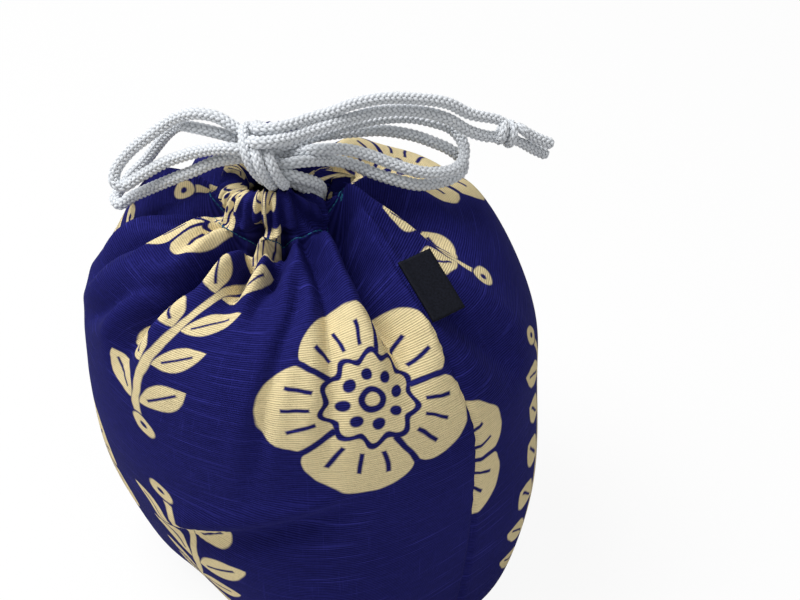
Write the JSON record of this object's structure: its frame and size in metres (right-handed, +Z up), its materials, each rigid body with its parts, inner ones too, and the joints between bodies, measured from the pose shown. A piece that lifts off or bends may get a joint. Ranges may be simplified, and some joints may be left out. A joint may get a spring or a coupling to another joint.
{
  "type": "drawstring bag",
  "caption": "Filled cloth drawstring bag standing on a boxed base, its mouth gathered in a stitched casing and tied shut with a braided cord bow, with a blank tab in the side seam.",
  "frame": {"origin": "centre of the bag's box, at the base that it stands on", "axes": "+Z up, -Y towards the front, +X towards the side with the labelled seam"},
  "size_m": [0.1807, 0.1808, 0.2187],
  "materials": {
    "cloth": "matt slub cotton with a cream print",
    "label": "black woven tape",
    "cord": "pale grey braided cord, slight sheen"
  },
  "bodies": {
    "root": {"bag_body": "cloth", "label_tab": "label", "cord_standing_a": "cord", "cord_standing_b": "cord", "left_loop_a": "cord", "left_loop_b": "cord", "right_loop_a": "cord", "right_loop_b": "cord", "tail_a": "cord", "tail_b": "cord", "cord_end_a": "cord", "cord_end_b": "cord", "bow_knot": "cord", "end_knot": "cord"}
  },
  "joints": []
}
